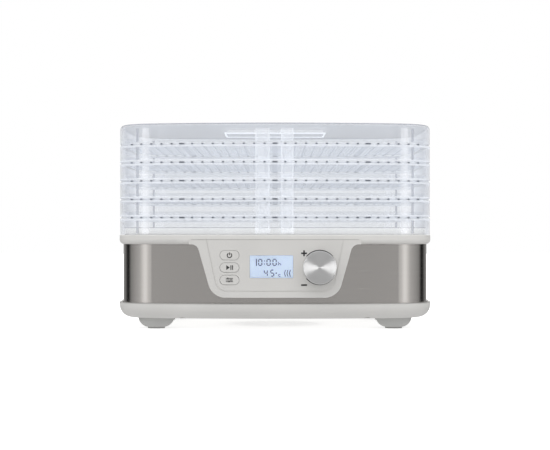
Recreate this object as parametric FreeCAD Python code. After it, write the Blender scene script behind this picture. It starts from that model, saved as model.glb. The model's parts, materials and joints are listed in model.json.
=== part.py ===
import FreeCAD, Part
import math
import os

# Food dehydrator: a low appliance base with a stack of clear lift-off trays under a clear lid.
# +X is to the right, +Z is up and the control panel faces -Y. The origin is on the ground,
# under the middle of the bounding box. All sizes are in millimetres.

Vector = FreeCAD.Vector
UP = Vector(0, 0, 1)
BACK = Vector(0, 1, 0)

# ---- plan outline: a rounded rectangle with bowed sides ----
WIDTH = 332.0
DEPTH = 250.0
CORNER_R = 45.0
FRONT_BOW = 12.0
SIDE_BOW = 1.5
REACH_Y = 136.0  # knob face in front and cord gland behind both end here
CUT_OUT = 25.0  # how far cutting shapes reach out past the outline
CUT_BACK = -DEPTH / 4  # cuts through the front wall end here

# ---- heights ----
PAD_H = 1.5
FOOT_TOP = 11.5
HOUSING_TOP = 27.3
BAND_TOP = 88.3
SHOULDER_TOP = 98.0
PLINTH_TOP = 105.6
TRAY_PITCH = 19.0
TRAY_COUNT = 5
LID_TOP = 213.4

# ---- walls and gaps ----
WALL = 2.5
BAND_INSET = 4.0
BAND_T = 0.8
LIFT_GAP = 0.3  # between parts that come apart
SKIN_GAP = 0.1  # between parts fixed to each other
SHAFT_GAP = 0.05
FRAME_OUT = BAND_INSET + BAND_T + SKIN_GAP
FRAME_IN = FRAME_OUT + WALL
HOUSING_R = 13.0

# ---- feet ----
FOOT_X = 125.0
FOOT_Y = 78.0
FOOT_R_TOP = 19.0
FOOT_R_MID = 16.0
FOOT_R_LOW = 10.5
FOOT_MID_Z = 5.0
PAD_R = 9.0

# ---- deck and air path ----
DECK_T = 3.0
PLINTH_INSET = 5.0
SHOULDER_R = 5.0
SHOULDER_EDGE_R = 1.0
PLINTH_EDGE_R = 0.8
OUTLET_R = 58.0
GRILLE_RIM = 4.0
GRILLE_T = 2.0
SLOT_W = 4.0
SLOT_PITCH = 8.0
INTAKE_R = 58.0
SHROUD_R = 61.5
SHROUD_T = 2.5
SHROUD_LOW = 40.0
SHROUD_PAD_T = 2.0  # how far the flat pads on the duct's sides stand out
SHROUD_PAD_W = 18.0
SHROUD_PAD_Z = (72.0, 90.0)
BRACKET_T = 3.0
BRACKET_RIM = 4.0
ARM_W = 12.0
ARM_COUNT = 3
MOTOR_R = 18.0
MOTOR_H = 19.0
MOTOR_EDGE_R = 2.0
MOTOR_FLOOR = 4.0
MOTOR_SHAFT_R = 1.5
MOTOR_SCREW_R = 12.0  # circle on which the motor's screws lie
HUB_R = 10.0
HUB_H = 10.0
HUB_LOW = 66.0
BLADE_COUNT = 5
BLADE_R = 57.0
BLADE_CHORD = 26.0
BLADE_T = 1.6
BLADE_PITCH = 28.0
BLADE_ROOT = 1.0  # how far the blades reach into the hub
HEATER_LOW = 80.0
HEATER_H = 12.0
MICA_T = 1.2
COIL_RADII = (18.0, 28.0, 38.0, 48.0)
COIL_WIRE_R = 1.0

# ---- safety parts on the duct's pads, and the air probe ----
SAFETY_Z = 81.0
THERMOSTAT_R = 8.0
THERMOSTAT_H = 5.0
TAB_Y = 4.0
TAB_L = 3.0
TAB_W = 3.0
TAB_T = 2.0
FUSE_R = 2.2
FUSE_L = 12.0
SENSOR_XY = (84.0, 62.0)
SENSOR_R = 2.5
SENSOR_LOW = 88.0
SENSOR_TOP = 103.0

# ---- control panel, measured in the X-Z plane ----
PANEL_TOP = 93.5
PANEL_LOW = 33.7
PANEL_HALF_TOP = 88.5
PANEL_HALF_NECK = 79.9
PANEL_HALF_LOW = 64.4
PANEL_NECK_R = 8.0
PANEL_LOW_R = 18.0
PANEL_TOP_R = 1.5
PANEL_PROUD = 0.6
RIM_HALF_TOP = 71.5
RIM_HALF_LOW = 59.5
RIM_LOW = 40.0
RIM_LOW_R = 12.0
RIM_GROOVE_W = 0.8
RIM_GROOVE_D = 0.5
BUTTON_X = -46.6
BUTTON_Z = {"power_button": 77.3, "play_pause_button": 64.6, "set_button": 51.9}
BUTTON_W = 19.5
BUTTON_H = 9.5
BUTTON_TRAVEL = 0.8
BUTTON_PROUD = 1.0
BUTTON_RIM = 1.1
BUTTON_FLANGE_Y = -118.0
DISPLAY_X = -3.6
DISPLAY_Z = 65.4
DISPLAY_W = 44.3
DISPLAY_H = 23.1
DISPLAY_R = 1.0
WINDOW_INSET = 0.2
WINDOW_T = 1.2
KNOB_X = 45.7
KNOB_Z = 64.7
KNOB_R = 17.15
KNOB_BACK = -125.5
KNOB_SKIN = 1.2
KNOB_BEVEL = 0.9
ENCODER_SHAFT_R = 3.0
ENCODER_HOLE_R = 5.0
ENCODER_W = 12.0
ENCODER_D = 6.0
BUSH_WALL = 1.0
BUSH_D = 5.0
SHAFT_DEPTH = 2.6  # how far the shaft reaches into the encoder
SHAFT_END = 4.0  # from the knob's face to the shaft's front end
PRESS_GAP = 0.02

# ---- control board, behind the panel ----
BOARD_FRONT = -108.0
BOARD_T = 1.6
BOARD_HALF = 67.0
BOARD_LOW = 42.0
BOARD_TOP = 86.0
BOARD_POSTS = ((-30.0, 45.5), (30.0, 45.5), (-62.5, 80.5), (62.5, 80.5))
SWITCH_W = 6.0
SWITCH_D = 3.5
PLUNGER_R = 1.7
PLUNGER_D = 1.0
LCD_FRONT = -122.5
LCD_D = 8.0
M3_R = 1.25
M3_HEAD_R = 2.8
M3_HEAD_H = 1.8
POST_R = 3.2

# ---- fixings of the casing ----
HOUSING_SCREWS = tuple((sx * x, sy * y) for x, y in ((154.5, 50.0), (95.0, 107.5))
                       for sx in (-1, 1) for sy in (-1, 1))
BOSS_R = 4.5
BOSS_TOP = 45.0
M4_R = 1.6
M4_HEAD_R = 3.2
M4_HEAD_H = 2.2
M4_TOP = 42.0
HEAD_LOW = FOOT_TOP + 2 * M4_HEAD_H

# ---- mains side ----
GLAND_X = -60.0
GLAND_Z = 45.0
GLAND_R = 7.0
GLAND_FLANGE_R = 11.0
GLAND_BORE_R = 3.6
GLAND_INSIDE = 4.0  # how far the gland stands in from the frame
GLAND_FLANGE_T = 2.5
GLAND_COLLAR_OUT = 1.0  # from the steel to the collar, and its step inside the flange's radius
GLAND_COLLAR_T = 3.0
GLAND_TAPER = 1.5
POWER_BOARD = (-128.0, -80.0, -40.0, 40.0)  # low x, high x, low y, high y
POWER_BOARD_Z = 22.0
POWER_BOARD_EDGE = 5.0  # from the board's edges to its screws
RELAY = ((-122.0, -28.0), (-103.0, -13.0), 15.0)  # low x and y, high x and y, height
TRANSFORMER = ((-120.0, -6.0), (-94.0, 16.0), 19.0)
TERMINALS = ((-112.0, 22.0), (-94.0, 33.0), 11.0)
CAPACITOR_XY = (-92.0, -18.0)
CAPACITOR_R = 5.0
CAPACITOR_H = 13.0

# ---- trays, each measured up from the foot of its own skirt ----
RING_INSET = 0.6
RING_T = 2.0
FLOOR_TOP = 18.7
FLOOR_T = 1.8
FLOOR_INSET = 1.6
LIP_INSET = 4.2
LIP_T = 1.8
LIP_H = 5.4
GRID_INSET = 8.0
GRID_RIM = 1.0
RIB_PITCH = 10.65
RIB_COUNT = 14  # on each side of the middle rib
RIB_W = 2.2
WIDE_RIB_W = 5.4
WIDE_RIBS = (-9, 0, 9)
BAR_PITCH = 21.0
BAR_COUNT = 5  # on each side of the middle bar
BAR_W = 2.0
POSTS = ((-12.8, 14.6), (12.6, 12.8))  # middle x and width of the two front stacking posts
POST_INSET = 3.9  # how far in from the outline their inner faces are
POST_LOW = 0.6

# ---- lid ----
LID_INSET = 0.6
LID_T = 2.0
LID_R = 4.5
VENT_W = 3.0
VENT_L = 17.0
VENT_X = 117.0
VENT_PITCH = 36.0
VENT_COUNT = 5
PANEL_RECESS_W = 106.0
PANEL_RECESS_D = 60.0
PANEL_RECESS_H = 3.0
PANEL_RECESS_R = 9.0

EDGE_TOL = 0.01

# ---- the outline's arcs follow from its width, depth, corner radius and bows ----
CORNER_X = WIDTH / 2 - CORNER_R - SIDE_BOW
CORNER_Y = DEPTH / 2 - CORNER_R - FRONT_BOW
FRONT_R = (CORNER_X ** 2 + 2 * CORNER_R * FRONT_BOW + FRONT_BOW ** 2) / (2 * FRONT_BOW)
SIDE_R = (CORNER_Y ** 2 + 2 * CORNER_R * SIDE_BOW + SIDE_BOW ** 2) / (2 * SIDE_BOW)
SHROUD_FACE = SHROUD_R + SHROUD_T + SHROUD_PAD_T  # the outer face of the duct's pads


def joint_point(sx, sy, inset, front):
    """Where a corner arc meets the front or back arc, or a side arc."""
    corner = Vector(sx * CORNER_X, sy * CORNER_Y, 0)
    if front:
        centre = Vector(0, -sy * (FRONT_R - DEPTH / 2), 0)
        radius = FRONT_R
    else:
        centre = Vector(-sx * (SIDE_R - WIDTH / 2), 0, 0)
        radius = SIDE_R
    return centre + (corner - centre).normalize() * (radius - inset)


def outline(inset, z):
    """The plan outline moved inwards by inset, as a closed wire at height z."""
    edges = []
    lift = Vector(0, 0, z)
    for sx, sy in ((1, -1), (1, 1), (-1, 1), (-1, -1)):
        corner = Vector(sx * CORNER_X, sy * CORNER_Y, 0)
        on_front = joint_point(sx, sy, inset, True)
        on_side = joint_point(sx, sy, inset, False)
        middle = ((on_front - corner) + (on_side - corner)).normalize() * (CORNER_R - inset)
        edges.append(Part.Arc(on_front + lift, corner + middle + lift, on_side + lift).toShape())
    for sy in (-1, 1):
        ends = [joint_point(sx, sy, inset, True) + lift for sx in (-1, 1)]
        edges.append(Part.Arc(ends[0], Vector(0, sy * (DEPTH / 2 - inset), z), ends[1]).toShape())
    for sx in (-1, 1):
        ends = [joint_point(sx, sy, inset, False) + lift for sy in (-1, 1)]
        edges.append(Part.Arc(ends[0], Vector(sx * (WIDTH / 2 - inset), 0, z), ends[1]).toShape())
    return Part.Wire(Part.__sortEdges__(edges))


def face_of(wires):
    """A flat face bounded by the first wire, with the others as holes."""
    return Part.makeFace(wires, "Part::FaceMakerBullseye")


def prism(inset, low, high):
    """The full outline, inset, between two heights."""
    return face_of([outline(inset, low)]).extrude(UP * (high - low))


def ring(outer, inner, low, high):
    """A wall that follows the outline, between two insets and two heights."""
    return face_of([outline(outer, low), outline(inner, low)]).extrude(UP * (high - low))


def box(low, high):
    """A block between two opposite corners."""
    size = [b - a for a, b in zip(low, high)]
    return Part.makeBox(*size, Vector(*low))


def rod(radius, start, length, axis):
    """A cylinder from a point along an axis."""
    return Part.makeCylinder(radius, length, Vector(*start), axis)


def tube(outer, inner, start, length, axis):
    """A cylinder with a hole right through it."""
    return rod(outer, start, length, axis).cut(rod(inner, start, length, axis))


def fused(shapes):
    """The given solids joined into one."""
    return shapes[0].multiFuse(shapes[1:]).removeSplitter()


def round_level(shape, z, radius):
    """Rounds every edge that lies at height z."""
    edges = [e for e in shape.Edges if all(abs(v.Z - z) < EDGE_TOL for v in e.Vertexes)
             and abs(e.BoundBox.ZMax - e.BoundBox.ZMin) < EDGE_TOL]
    return shape.makeFillet(radius, edges)


def rounded_wire(corners, place):
    """A closed wire through (u, v, radius) corners; place turns (u, v) into a point."""
    flat = [Vector(u, v, 0) for u, v, _ in corners]
    count = len(corners)
    pieces = []
    for i, here in enumerate(flat):
        radius = corners[i][2]
        back = (flat[i - 1] - here).normalize()
        ahead = (flat[(i + 1) % count] - here).normalize()
        half = back.getAngle(ahead) / 2
        run = radius / math.tan(half)
        split = (back + ahead).normalize()
        centre = here + split * (radius / math.sin(half))
        pieces.append((here + back * run, centre - split * radius, here + ahead * run, radius))
    edges = []
    for i, (start, middle, end, radius) in enumerate(pieces):
        after = pieces[(i + 1) % count][0]
        if radius > 0:
            edges.append(Part.Arc(place(start), place(middle), place(end)).toShape())
        if end.distanceToPoint(after) > EDGE_TOL:
            edges.append(Part.LineSegment(place(end), place(after)).toShape())
    return Part.Wire(edges)


def on_wall(y):
    """Places flat (x, z) points on the upright plane at y."""
    return lambda p: Vector(p.x, y, p.y)


def on_floor(z):
    """Places flat (x, y) points on the level plane at z."""
    return lambda p: Vector(p.x, p.y, z)


def rectangle(cx, cy, width, height, radius):
    """The corners of a rounded rectangle, for rounded_wire."""
    a = width / 2
    b = height / 2
    return [(cx - a, cy - b, radius), (cx + a, cy - b, radius),
            (cx + a, cy + b, radius), (cx - a, cy + b, radius)]


def wall_block(corners, front, back):
    """Extrudes an X-Z outline from the plane y = front to y = back."""
    wire = rounded_wire(corners, on_wall(front))
    return face_of([wire]).extrude(BACK * (back - front))


def panel_layer(corners, outer, inner, low, high):
    """The part of a curved layer that follows the front wall and lies inside an X-Z outline."""
    block = wall_block(corners, -REACH_Y, CUT_BACK)
    return ring(outer, inner, low, high).common(block)


def button_corners(z, grow):
    """The outline of a button, grown on every side."""
    height = BUTTON_H + 2 * grow
    return rectangle(BUTTON_X, z, BUTTON_W + 2 * grow, height, height / 2 - EDGE_TOL)


def display_corners(grow):
    """The outline of the display window, grown on every side."""
    return rectangle(DISPLAY_X, DISPLAY_Z, DISPLAY_W + 2 * grow, DISPLAY_H + 2 * grow, DISPLAY_R)


def panel_corners(grow):
    """The bib-shaped outline of the control panel: wide at the top, flared into the shoulder."""
    g = grow
    right = [(PANEL_HALF_TOP + g, BAND_TOP - g, 0), (PANEL_HALF_NECK + g, BAND_TOP - g, PANEL_NECK_R - g),
             (PANEL_HALF_LOW + g, PANEL_LOW - g, PANEL_LOW_R)]
    left = [(-x, z, r) for x, z, r in reversed(right)]
    top = [(sx * (PANEL_HALF_TOP + g), PANEL_TOP + g, PANEL_TOP_R) for sx in (-1, 1)]
    return top + right + left


def rim_corners(grow):
    """The outline of the groove that frames the middle of the panel."""
    top = [(sx * (RIM_HALF_TOP + grow), PANEL_TOP + POST_R, 0) for sx in (-1, 1)]
    low = [(sx * (RIM_HALF_LOW + grow), RIM_LOW - grow, RIM_LOW_R) for sx in (1, -1)]
    return top + low


def grille(radius, low):
    """A round grille with straight slots inside a plain rim."""
    plate = rod(radius, (0, 0, low), GRILLE_T, UP)
    reach = radius - GRILLE_RIM
    count = int(reach / SLOT_PITCH)
    slots = []
    for i in range(-count, count + 1):
        y = i * SLOT_PITCH
        half = math.sqrt(reach ** 2 - y ** 2) - SLOT_W
        for x0, x1 in ((-half, -SLOT_W / 2), (SLOT_W / 2, half)):
            if x1 - x0 > SLOT_W:
                slots.append(box((x0, y - SLOT_W / 2, low), (x1, y + SLOT_W / 2, low + GRILLE_T)))
    return plate.cut(slots)


def base_housing():
    """The bowl-shaped lower housing, with its screw bosses and board posts."""
    outer = round_level(prism(0, FOOT_TOP, HOUSING_TOP), FOOT_TOP, HOUSING_R)
    inner = prism(WALL, FOOT_TOP + WALL, HOUSING_TOP + WALL)
    shell = outer.cut(round_level(inner, FOOT_TOP + WALL, HOUSING_R - WALL))
    floor = FOOT_TOP + WALL - SKIN_GAP
    bosses = [rod(BOSS_R, (x, y, floor), HOUSING_TOP - floor, UP) for x, y in HOUSING_SCREWS]
    posts = [rod(POST_R, (x, y, floor), POWER_BOARD_Z - floor, UP) for x, y in power_board_posts()]
    rest = tube(INTAKE_R + GRILLE_RIM, INTAKE_R - GRILLE_RIM / 2, (0, 0, FOOT_TOP), WALL, UP)
    shell = fused([shell, rest] + bosses + posts)
    holes = [rod(INTAKE_R + SKIN_GAP, (0, 0, FOOT_TOP + WALL - GRILLE_T), GRILLE_T, UP)]
    holes.append(rod(INTAKE_R - GRILLE_RIM / 2, (0, 0, FOOT_TOP), WALL, UP))
    for x, y in HOUSING_SCREWS:
        holes.append(rod(M4_R + SKIN_GAP, (x, y, FOOT_TOP), HOUSING_TOP, UP))
        holes.append(rod(M4_HEAD_R + SKIN_GAP, (x, y, 0), HEAD_LOW + M4_HEAD_H, UP))
    for x, y in power_board_posts():
        holes.append(rod(M3_R, (x, y, floor + SKIN_GAP), POWER_BOARD_Z, UP))
    return shell.cut(holes)


def steel_band():
    """The sheet steel wrap round the middle, open behind the panel and at the cord gland."""
    band = ring(BAND_INSET, BAND_INSET + BAND_T, HOUSING_TOP, BAND_TOP)
    return band.cut([panel_opening(), gland_hole()])


def body_frame():
    """The plastic wall inside the steel, with bosses for the housing screws."""
    wall = ring(FRAME_OUT, FRAME_IN, HOUSING_TOP, BAND_TOP)
    inside = prism(FRAME_OUT, HOUSING_TOP, BAND_TOP)
    bosses = [rod(BOSS_R, (x, y, HOUSING_TOP), BOSS_TOP - HOUSING_TOP, UP).common(inside)
              for x, y in HOUSING_SCREWS]
    frame = fused([wall] + bosses)
    holes = [rod(M4_R, (x, y, HOUSING_TOP), M4_TOP - HOUSING_TOP, UP) for x, y in HOUSING_SCREWS]
    return frame.cut(holes + [panel_opening(), gland_hole()])


def panel_opening():
    """The hole in the steel and the frame that the panel's inner parts pass through."""
    corners = [(-RIM_HALF_TOP, BAND_TOP - WALL, PANEL_NECK_R), (RIM_HALF_TOP, BAND_TOP - WALL, PANEL_NECK_R),
               (RIM_HALF_LOW, RIM_LOW, RIM_LOW_R), (-RIM_HALF_LOW, RIM_LOW, RIM_LOW_R)]
    return wall_block(corners, -REACH_Y, CUT_BACK)


def gland_hole():
    """The round hole for the cord gland in the back wall."""
    return rod(GLAND_R + SKIN_GAP, (GLAND_X, DEPTH / 4, GLAND_Z), DEPTH, BACK)


def top_deck():
    """The shoulder ring, the raised plinth that centres the trays, and the floor between them."""
    shoulder = round_level(prism(0, BAND_TOP, SHOULDER_TOP), BAND_TOP, SHOULDER_R)
    shoulder = round_level(shoulder, SHOULDER_TOP, SHOULDER_EDGE_R)
    low = prism(FRAME_IN, BAND_TOP, SHOULDER_TOP - DECK_T)
    plinth = ring(PLINTH_INSET, PLINTH_INSET + WALL, SHOULDER_TOP - DECK_T / 2, PLINTH_TOP)
    plinth = round_level(plinth, PLINTH_TOP, PLINTH_EDGE_R)
    deck = fused([shoulder.cut(low), plinth])
    notch = panel_layer(panel_corners(SKIN_GAP), -CUT_OUT, BAND_INSET, BAND_TOP - WALL, PANEL_TOP + SKIN_GAP)
    outlet = rod(OUTLET_R - GRILLE_RIM / 2, (0, 0, BAND_TOP), SHOULDER_TOP, UP)
    seat = rod(OUTLET_R + SKIN_GAP, (0, 0, SHOULDER_TOP - GRILLE_T), GRILLE_T, UP)
    sensor = rod(SENSOR_R + SKIN_GAP, (*SENSOR_XY, BAND_TOP), SHOULDER_TOP, UP)
    return deck.cut([notch, outlet, seat, sensor])


def control_fascia():
    """The curved bib-shaped panel on the front, with its openings and screw posts."""
    body = panel_layer(panel_corners(0), -PANEL_PROUD, BAND_INSET - SKIN_GAP, PANEL_LOW, PANEL_TOP)
    posts = []
    for x, z in BOARD_POSTS:
        post = rod(POST_R, (x, -DEPTH / 2, z), BOARD_FRONT + DEPTH / 2, BACK)
        posts.append(post.cut(ring(-CUT_OUT, BAND_INSET - WALL, PANEL_LOW, PANEL_TOP)))
    body = fused([body] + posts)
    groove = wall_block(rim_corners(0), -REACH_Y, CUT_BACK)
    groove = groove.cut(wall_block(rim_corners(-RIM_GROOVE_W), -REACH_Y, CUT_BACK))
    layer = ring(-CUT_OUT, RIM_GROOVE_D - PANEL_PROUD, PANEL_LOW, PANEL_TOP)
    cuts = [groove.common(layer)]
    for z in BUTTON_Z.values():
        cuts.append(wall_block(button_corners(z, LIFT_GAP), -REACH_Y, CUT_BACK))
    cuts.append(wall_block(display_corners(SKIN_GAP), -REACH_Y, CUT_BACK))
    cuts.append(rod(ENCODER_HOLE_R, (KNOB_X, -REACH_Y, KNOB_Z), DEPTH / 4, BACK))
    for x, z in BOARD_POSTS:
        cuts.append(rod(M3_R, (x, BOARD_FRONT - 2 * POST_R, z), DEPTH, BACK))
    return body.cut(cuts)


def push_button(z):
    """A pill-shaped cap, the rim that holds it in, and its stem towards the switch."""
    flange_back = BUTTON_FLANGE_Y + BUTTON_RIM
    cap = wall_block(button_corners(z, 0), -REACH_Y, flange_back)
    cap = cap.cut(ring(-CUT_OUT, -BUTTON_PROUD, z - BUTTON_W, z + BUTTON_W))
    flange = wall_block(button_corners(z, BUTTON_RIM), BUTTON_FLANGE_Y, flange_back)
    tip = BOARD_FRONT - SWITCH_D - PLUNGER_D - BUTTON_TRAVEL - LIFT_GAP
    stem = rod(SWITCH_W / 2, (BUTTON_X, BUTTON_FLANGE_Y, z), tip - BUTTON_FLANGE_Y, BACK)
    return fused([cap, flange, stem])


def display_window():
    """The clear window over the display."""
    return panel_layer(display_corners(0), WINDOW_INSET, WINDOW_INSET + WINDOW_T, PANEL_LOW, PANEL_TOP)


def lcd_module():
    """The display block and its four legs, standing on the board."""
    a = DISPLAY_W / 2 - SKIN_GAP
    b = DISPLAY_H / 2 - SKIN_GAP
    back = LCD_FRONT + LCD_D
    block = box((DISPLAY_X - a, LCD_FRONT, DISPLAY_Z - b), (DISPLAY_X + a, back, DISPLAY_Z + b))
    legs = [rod(PLUNGER_R, (DISPLAY_X + sx * (a - POST_R), back, DISPLAY_Z + sz * (b - POST_R)),
                BOARD_FRONT - back, BACK) for sx in (-1, 1) for sz in (-1, 1)]
    return fused([block] + legs)


def control_board():
    """The circuit board behind the panel."""
    board = box((-BOARD_HALF, BOARD_FRONT, BOARD_LOW), (BOARD_HALF, BOARD_FRONT + BOARD_T, BOARD_TOP))
    return board.cut([rod(M3_R + SKIN_GAP, (x, BOARD_FRONT, z), BOARD_T, BACK) for x, z in BOARD_POSTS])


def board_screws():
    """The screws that hold the control board to the panel's posts."""
    back = BOARD_FRONT + BOARD_T
    solids = []
    for x, z in BOARD_POSTS:
        shank = rod(M3_R - EDGE_TOL, (x, BOARD_FRONT - POST_R, z), back + POST_R - BOARD_FRONT, BACK)
        solids.append(fused([shank, rod(M3_HEAD_R, (x, back, z), M3_HEAD_H, BACK)]))
    return solids


def tact_switches():
    """One small push switch behind each button."""
    a = SWITCH_W / 2
    solids = []
    for z in BUTTON_Z.values():
        body = box((BUTTON_X - a, BOARD_FRONT - SWITCH_D, z - a), (BUTTON_X + a, BOARD_FRONT, z + a))
        plunger = rod(PLUNGER_R, (BUTTON_X, BOARD_FRONT - SWITCH_D - PLUNGER_D, z), PLUNGER_D, BACK)
        solids.append(fused([body, plunger]))
    return solids


def rotary_encoder():
    """The knob's encoder: a square body on the board with a round bush in front."""
    a = ENCODER_W / 2
    front = BOARD_FRONT - ENCODER_D
    body = box((KNOB_X - a, front, KNOB_Z - a), (KNOB_X + a, BOARD_FRONT, KNOB_Z + a))
    bush = rod(ENCODER_SHAFT_R + BUSH_WALL, (KNOB_X, front - BUSH_D, KNOB_Z), BUSH_D, BACK)
    depth = BUSH_D + SHAFT_DEPTH + LIFT_GAP
    bore = rod(ENCODER_SHAFT_R + SHAFT_GAP, (KNOB_X, front - BUSH_D, KNOB_Z), depth, BACK)
    return fused([body, bush]).cut(bore)


def encoder_shaft():
    """The shaft that turns in the encoder and carries the knob."""
    start = -REACH_Y + SHAFT_END
    end = BOARD_FRONT - ENCODER_D + SHAFT_DEPTH
    return rod(ENCODER_SHAFT_R, (KNOB_X, start, KNOB_Z), end - start, BACK)


def knob_core():
    """The plastic core of the knob, pressed on the shaft."""
    front = -REACH_Y + KNOB_SKIN
    core = rod(KNOB_R - KNOB_SKIN - PRESS_GAP, (KNOB_X, front, KNOB_Z), KNOB_BACK - front, BACK)
    return core.cut(rod(ENCODER_SHAFT_R + PRESS_GAP, (KNOB_X, -REACH_Y + SHAFT_END, KNOB_Z), REACH_Y, BACK))


def knob_cap():
    """The turned aluminium cup over the knob's core."""
    cup = rod(KNOB_R, (KNOB_X, -REACH_Y, KNOB_Z), KNOB_BACK + REACH_Y, BACK)
    edges = [e for e in cup.Edges if abs(e.BoundBox.YMax + REACH_Y) < EDGE_TOL]
    cup = cup.makeChamfer(KNOB_BEVEL, edges)
    return cup.cut(rod(KNOB_R - KNOB_SKIN, (KNOB_X, -REACH_Y + KNOB_SKIN, KNOB_Z), REACH_Y, BACK))


def fan_shroud():
    """The round duct that leads the air up through the heater to the outlet."""
    top = SHOULDER_TOP - DECK_T
    duct = tube(SHROUD_R + SHROUD_T, SHROUD_R, (0, 0, SHROUD_LOW), top - SHROUD_LOW, UP)
    half = SHROUD_PAD_W / 2
    block = box((-SHROUD_FACE, -half, SHROUD_PAD_Z[0]), (SHROUD_FACE, half, SHROUD_PAD_Z[1]))
    pads = block.cut(rod(SHROUD_R + EDGE_TOL, (0, 0, SHROUD_LOW), top, UP))
    return fused([duct, pads])


def motor_bracket():
    """The three-armed bracket across the foot of the duct that carries the motor."""
    low = SHROUD_LOW
    plate = rod(MOTOR_R + BRACKET_RIM, (0, 0, low), BRACKET_T, UP)
    arms = []
    for i in range(ARM_COUNT):
        arm = box((0, -ARM_W / 2, low), (SHROUD_R + EDGE_TOL, ARM_W / 2, low + BRACKET_T))
        arm.rotate(Vector(0, 0, 0), UP, 90 + i * 360 / ARM_COUNT)
        arms.append(arm.common(rod(SHROUD_R - SKIN_GAP, (0, 0, low), BRACKET_T, UP)))
    return fused([plate] + arms)


def fan_motor():
    """The fan motor, with a plain bearing bore in its upper end."""
    low = SHROUD_LOW + BRACKET_T
    can = rod(MOTOR_R, (0, 0, low), MOTOR_H, UP)
    can = round_level(can, low + MOTOR_H, MOTOR_EDGE_R)
    return can.cut(rod(MOTOR_SHAFT_R + SHAFT_GAP, (0, 0, low + MOTOR_FLOOR), MOTOR_H, UP))


def motor_screws():
    """The screws that hold the motor to its bracket, seen as heads under the plate."""
    low = SHROUD_LOW - M3_HEAD_H
    screws = []
    for i in range(ARM_COUNT):
        angle = math.radians(90 + (i + 0.5) * 360 / ARM_COUNT)
        place = (MOTOR_SCREW_R * math.cos(angle), MOTOR_SCREW_R * math.sin(angle), low)
        screws.append(rod(M3_HEAD_R, place, M3_HEAD_H, UP))
    return screws


def motor_shaft():
    """The fan's shaft, turning in the motor."""
    low = SHROUD_LOW + BRACKET_T + MOTOR_FLOOR + LIFT_GAP
    return rod(MOTOR_SHAFT_R, (0, 0, low), HUB_LOW + HUB_H - low, UP)


def fan_impeller():
    """The axial impeller: a hub and pitched blades."""
    hub = rod(HUB_R, (0, 0, HUB_LOW), HUB_H, UP)
    middle = HUB_LOW + HUB_H / 2
    sweep = tube(BLADE_R, HUB_R - BLADE_ROOT, (0, 0, HUB_LOW - HUB_H), 3 * HUB_H, UP)
    chord = BLADE_CHORD / 2
    blades = []
    for i in range(BLADE_COUNT):
        blade = box((0, -chord, middle - BLADE_T / 2), (2 * BLADE_R, chord, middle + BLADE_T / 2))
        blade.rotate(Vector(0, 0, middle), Vector(1, 0, 0), BLADE_PITCH)
        blade = blade.common(sweep)
        blade.rotate(Vector(0, 0, 0), UP, i * 360 / BLADE_COUNT)
        blades.append(blade)
    return fused([hub] + blades).cut(rod(MOTOR_SHAFT_R, (0, 0, HUB_LOW), HUB_H, UP))


def heater_rings(wire_r):
    """The heating coil's turns, as rings of round wire."""
    z = HEATER_LOW + HEATER_H / 2
    return [Part.makeTorus(r, wire_r, Vector(0, 0, z)) for r in COIL_RADII]


def heater_frame():
    """The crossed mica plates that carry the heating coil."""
    reach = SHROUD_R - SKIN_GAP
    plates = [box((-reach, -MICA_T / 2, HEATER_LOW), (reach, MICA_T / 2, HEATER_LOW + HEATER_H)),
              box((-MICA_T / 2, -reach, HEATER_LOW), (MICA_T / 2, reach, HEATER_LOW + HEATER_H))]
    return fused(plates).cut(heater_rings(COIL_WIRE_R + SHAFT_GAP))


def thermostat():
    """The safety thermostat on the duct's left pad."""
    outer = -SHROUD_FACE - THERMOSTAT_H
    disc = rod(THERMOSTAT_R, (-SHROUD_FACE, 0, SAFETY_Z), THERMOSTAT_H, Vector(-1, 0, 0))
    low = SAFETY_Z - TAB_T / 2
    half = TAB_W / 2
    tabs = [box((outer - TAB_L, y - half, low), (outer, y + half, low + TAB_T)) for y in (-TAB_Y, TAB_Y)]
    return fused([disc] + tabs)


def thermal_fuse():
    """The one-shot thermal fuse on the duct's right pad."""
    return rod(FUSE_R, (SHROUD_FACE + FUSE_R, -FUSE_L / 2, SAFETY_Z), FUSE_L, BACK)


def temperature_sensor():
    """The probe that reads the air above the deck."""
    return rod(SENSOR_R, (*SENSOR_XY, SENSOR_LOW), SENSOR_TOP - SENSOR_LOW, UP)


def power_board_posts():
    """Where the mains board is screwed down."""
    x0, x1, y0, y1 = POWER_BOARD
    edge = POWER_BOARD_EDGE
    return [(x, y) for x in (x0 + edge, x1 - edge) for y in (y0 + edge, y1 - edge)]


def power_board():
    """The mains circuit board in the bottom of the housing."""
    x0, x1, y0, y1 = POWER_BOARD
    board = box((x0, y0, POWER_BOARD_Z), (x1, y1, POWER_BOARD_Z + BOARD_T))
    holes = [rod(M3_R + SKIN_GAP, (x, y, POWER_BOARD_Z), BOARD_T, UP) for x, y in power_board_posts()]
    return board.cut(holes)


def power_board_parts():
    """The relay, transformer, capacitor and terminal block on the mains board."""
    top = POWER_BOARD_Z + BOARD_T
    blocks = [box((*low, top), (*high, top + tall)) for low, high, tall in (RELAY, TRANSFORMER, TERMINALS)]
    return blocks + [rod(CAPACITOR_R, (*CAPACITOR_XY, top), CAPACITOR_H, UP)]


def power_board_screws():
    """The screws that hold the mains board to its posts."""
    top = POWER_BOARD_Z + BOARD_T
    solids = []
    for x, y in power_board_posts():
        shank = rod(M3_R - EDGE_TOL, (x, y, POWER_BOARD_Z - POST_R), top + POST_R - POWER_BOARD_Z, UP)
        solids.append(fused([shank, rod(M3_HEAD_R, (x, y, top), M3_HEAD_H, UP)]))
    return solids


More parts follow.
